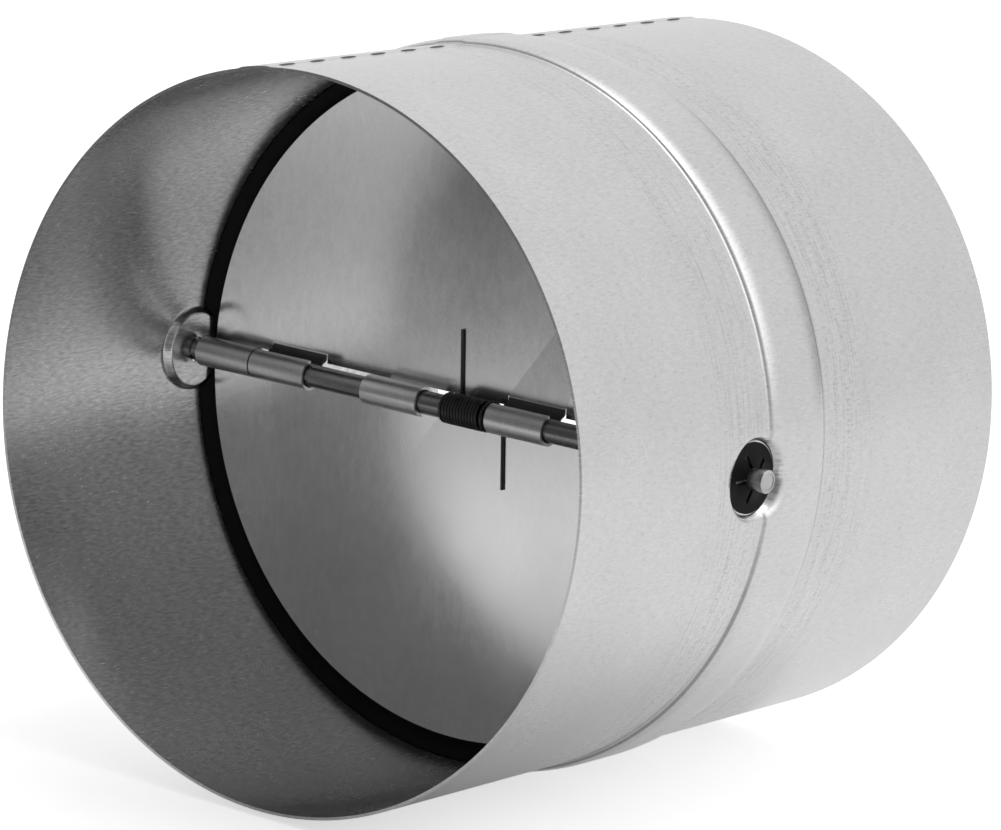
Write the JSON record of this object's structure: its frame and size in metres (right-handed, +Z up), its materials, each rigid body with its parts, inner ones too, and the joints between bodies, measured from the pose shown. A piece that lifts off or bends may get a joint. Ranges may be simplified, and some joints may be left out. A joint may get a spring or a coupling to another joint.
{
  "type": "backdraft damper",
  "caption": "Round galvanised duct damper whose spring-loaded half-disc flaps share a hinge shaft and close on a rubber seal against back flow.",
  "frame": {"origin": "on the duct axis, at the middle of the casing's length and of its rolled bead", "axes": "+Y along the duct axis towards the inlet end, +X along the hinge shaft, +Z up, with the lengthwise seam near the top"},
  "size_m": [0.1288, 0.116, 0.126],
  "materials": {
    "galvanised_sheet": "satin zinc coating",
    "flap_aluminium": "brushed, close to mirror at a low angle",
    "shaft_steel": "bright drawn",
    "spring_steel": "dark satin",
    "washer_steel": "black, satin",
    "seal_rubber": "matte"
  },
  "bodies": {
    "casing_body": {"casing": "galvanised_sheet", "seal_ring": "seal_rubber", "hinge_shaft": "shaft_steel", "spring_coil": "spring_steel", "lock_washer_left": "washer_steel", "lock_washer_right": "washer_steel"},
    "upper_flap_body": {"upper_flap": "flap_aluminium", "spring_leg_upper": "spring_steel"},
    "lower_flap_body": {"lower_flap": "flap_aluminium", "spring_leg_lower": "spring_steel"}
  },
  "joints": [
    {"name": "upper_flap_hinge", "type": "hinge", "parent": "casing_body", "child": "upper_flap_body", "pos_m": [0, -0.0105, 0], "axis": [1, 0, 0], "range_deg": [0, 85], "stiffness_Nm_per_rad": 0.002, "springref_deg": -85.94},
    {"name": "lower_flap_hinge", "type": "hinge", "parent": "casing_body", "child": "lower_flap_body", "pos_m": [0, -0.0105, 0], "axis": [-1, 0, 0], "range_deg": [0, 85], "stiffness_Nm_per_rad": 0.002, "springref_deg": -85.94}
  ]
}
